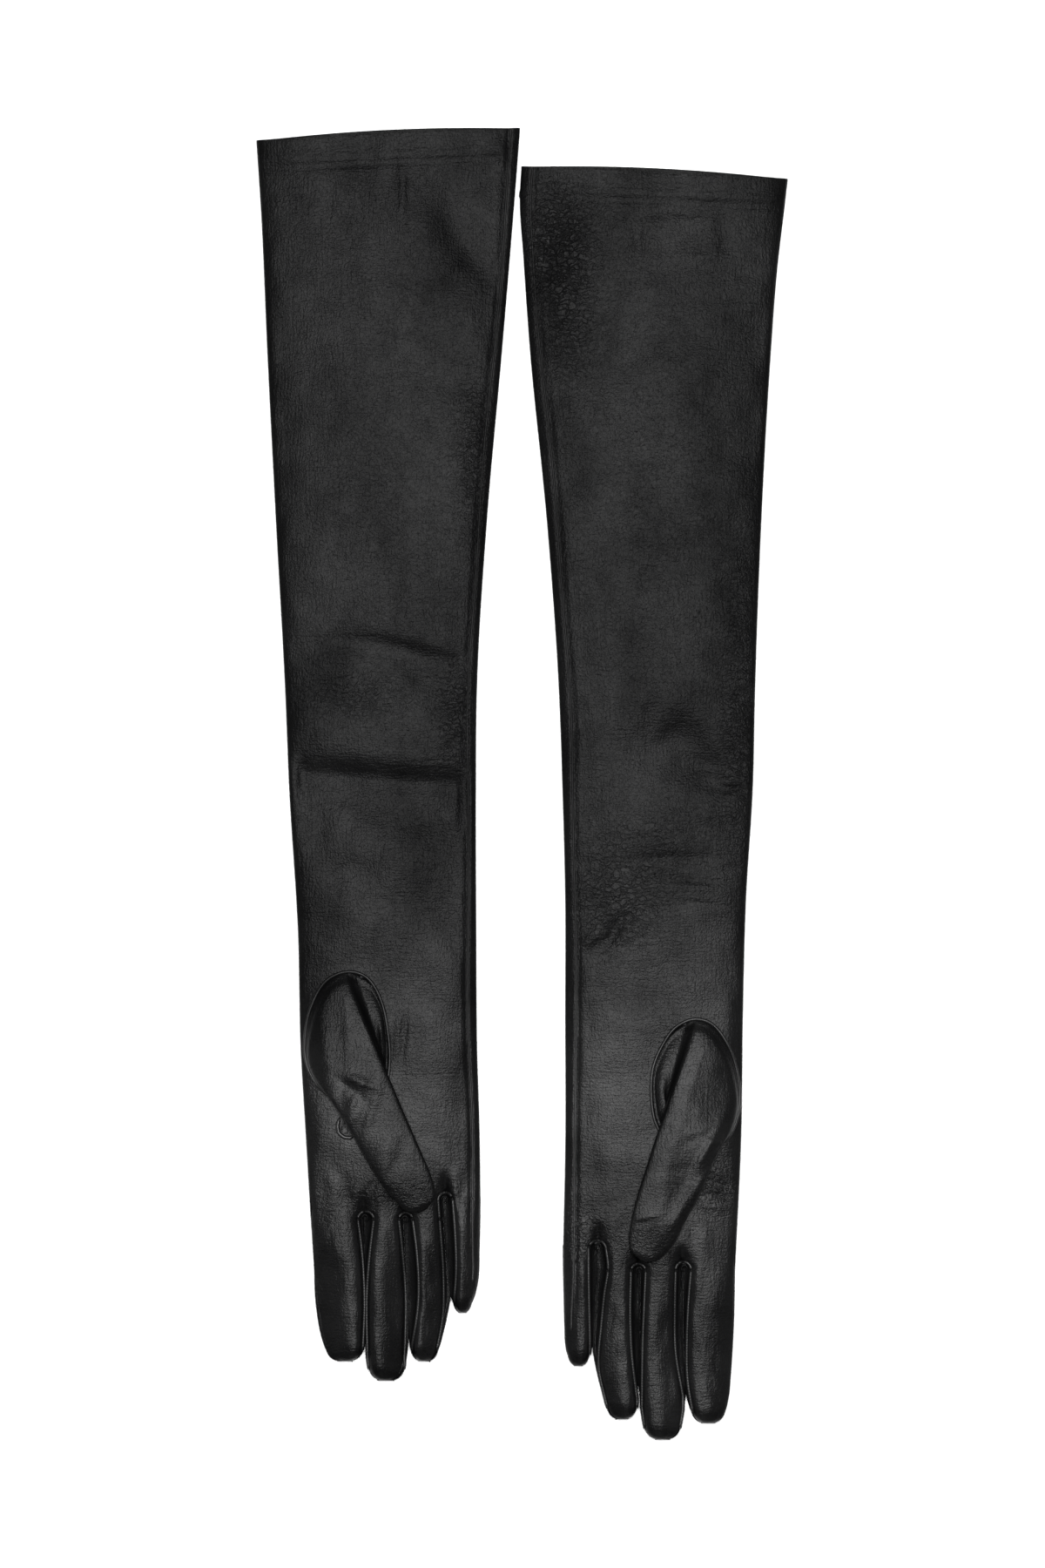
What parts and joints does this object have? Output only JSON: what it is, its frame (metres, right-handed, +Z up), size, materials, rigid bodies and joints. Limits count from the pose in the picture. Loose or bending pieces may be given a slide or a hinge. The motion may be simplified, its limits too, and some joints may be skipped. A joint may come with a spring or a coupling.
{
  "type": "opera gloves",
  "caption": "Pair of long leather gloves lying flat, palms up, with flared sleeves, set-in thumbs folded over the palms and fourchette fingers.",
  "frame": {"origin": "on the resting surface, under the middle of the pair's box", "axes": "+Z up from the surface, +Y towards the cuffs, -Y towards the fingertips, +X towards the left glove"},
  "size_m": [0.2744, 0.677, 0.0184],
  "materials": {
    "glove_leather": "soft matt nappa with a low sheen",
    "silk_lining": "fine knitted silk",
    "size_label": "woven ribbon, blank"
  },
  "bodies": {
    "right_upper_sleeve": {"right_upper_sleeve": "glove_leather", "right_hem_band": "glove_leather", "right_size_label": "size_label", "right_upper_lining": "silk_lining", "right_sleeve_outseam": "glove_leather"},
    "right_forearm": {"right_forearm": "glove_leather", "right_forearm_lining": "silk_lining", "right_forearm_outseam": "glove_leather"},
    "right_hand": {"right_hand": "glove_leather", "right_hand_lining": "silk_lining", "right_hand_outseam": "glove_leather", "right_quirks": "glove_leather", "right_thumb_hole_seam": "glove_leather", "right_thumb_base": "glove_leather"},
    "right_thumb": {"right_thumb": "glove_leather", "right_thumb_lining": "silk_lining"},
    "right_index": {"right_index_finger": "glove_leather", "right_index_fourchette": "glove_leather", "right_index_lining": "silk_lining"},
    "right_middle": {"right_middle_finger": "glove_leather", "right_middle_outer_fourchette": "glove_leather", "right_middle_inner_fourchette": "glove_leather", "right_middle_lining": "silk_lining"},
    "right_ring": {"right_ring_finger": "glove_leather", "right_ring_outer_fourchette": "glove_leather", "right_ring_inner_fourchette": "glove_leather", "right_ring_lining": "silk_lining"},
    "right_little": {"right_little_finger": "glove_leather", "right_little_fourchette": "glove_leather", "right_little_lining": "silk_lining"},
    "left_upper_sleeve": {"left_upper_sleeve": "glove_leather", "left_hem_band": "glove_leather", "left_size_label": "size_label", "left_upper_lining": "silk_lining", "left_sleeve_outseam": "glove_leather"},
    "left_forearm": {"left_forearm": "glove_leather", "left_forearm_lining": "silk_lining", "left_forearm_outseam": "glove_leather"},
    "left_hand": {"left_hand": "glove_leather", "left_hand_lining": "silk_lining", "left_hand_outseam": "glove_leather", "left_quirks": "glove_leather", "left_thumb_hole_seam": "glove_leather", "left_thumb_base": "glove_leather"},
    "left_thumb": {"left_thumb": "glove_leather", "left_thumb_lining": "silk_lining"},
    "left_index": {"left_index_finger": "glove_leather", "left_index_fourchette": "glove_leather", "left_index_lining": "silk_lining"},
    "left_middle": {"left_middle_finger": "glove_leather", "left_middle_outer_fourchette": "glove_leather", "left_middle_inner_fourchette": "glove_leather", "left_middle_lining": "silk_lining"},
    "left_ring": {"left_ring_finger": "glove_leather", "left_ring_outer_fourchette": "glove_leather", "left_ring_inner_fourchette": "glove_leather", "left_ring_lining": "silk_lining"},
    "left_little": {"left_little_finger": "glove_leather", "left_little_fourchette": "glove_leather", "left_little_lining": "silk_lining"}
  },
  "joints": [
    {"name": "right_sleeve_fold", "type": "hinge", "parent": "right_forearm", "child": "right_upper_sleeve", "pos_m": [-0.071, 0.01, 0.0104], "axis": [1, 0, 0], "range_deg": [0, 90]},
    {"name": "right_wrist_bend", "type": "hinge", "parent": "right_forearm", "child": "right_hand", "pos_m": [-0.069, -0.08, 0.0104], "axis": [-1, 0, 0], "range_deg": [0, 60]},
    {"name": "right_thumb_lift", "type": "hinge", "parent": "right_hand", "child": "right_thumb", "pos_m": [-0.0857, -0.1566, 0.0187], "axis": [-0.9078, -0.4195, 0], "range_deg": [0, 90]},
    {"name": "right_index_curl", "type": "hinge", "parent": "right_hand", "child": "right_index", "pos_m": [-0.09565, -0.2236, 0.0104], "axis": [-1, 0, 0], "range_deg": [0, 85]},
    {"name": "right_middle_curl", "type": "hinge", "parent": "right_hand", "child": "right_middle", "pos_m": [-0.0711, -0.2236, 0.0104], "axis": [-1, 0, 0], "range_deg": [0, 85]},
    {"name": "right_ring_curl", "type": "hinge", "parent": "right_hand", "child": "right_ring", "pos_m": [-0.04985, -0.2236, 0.0104], "axis": [-1, 0, 0], "range_deg": [0, 85]},
    {"name": "right_little_curl", "type": "hinge", "parent": "right_hand", "child": "right_little", "pos_m": [-0.0305, -0.213, 0.0104], "axis": [-1, 0, 0], "range_deg": [0, 85]},
    {"name": "gloves_apart", "type": "slide", "parent": "right_forearm", "child": "left_forearm", "axis": [1, 0, 0], "range_m": [0, 0.1]},
    {"name": "left_sleeve_fold", "type": "hinge", "parent": "left_forearm", "child": "left_upper_sleeve", "pos_m": [0.071, 0.016, 0.0104], "axis": [1, 0, 0], "range_deg": [0, 90]},
    {"name": "left_wrist_bend", "type": "hinge", "parent": "left_forearm", "child": "left_hand", "pos_m": [0.069, -0.104, 0.0104], "axis": [-1, 0, 0], "range_deg": [0, 60]},
    {"name": "left_thumb_lift", "type": "hinge", "parent": "left_hand", "child": "left_thumb", "pos_m": [0.0886, -0.1802, 0.0187], "axis": [-0.9397, 0.342, 0], "range_deg": [0, 90]},
    {"name": "left_index_curl", "type": "hinge", "parent": "left_hand", "child": "left_index", "pos_m": [0.09605, -0.25, 0.0104], "axis": [-1, 0, 0], "range_deg": [0, 85]},
    {"name": "left_middle_curl", "type": "hinge", "parent": "left_hand", "child": "left_middle", "pos_m": [0.07085, -0.25, 0.0104], "axis": [-1, 0, 0], "range_deg": [0, 85]},
    {"name": "left_ring_curl", "type": "hinge", "parent": "left_hand", "child": "left_ring", "pos_m": [0.04925, -0.25, 0.0104], "axis": [-1, 0, 0], "range_deg": [0, 85]},
    {"name": "left_little_curl", "type": "hinge", "parent": "left_hand", "child": "left_little", "pos_m": [0.0299, -0.238, 0.0104], "axis": [-1, 0, 0], "range_deg": [0, 85]}
  ]
}
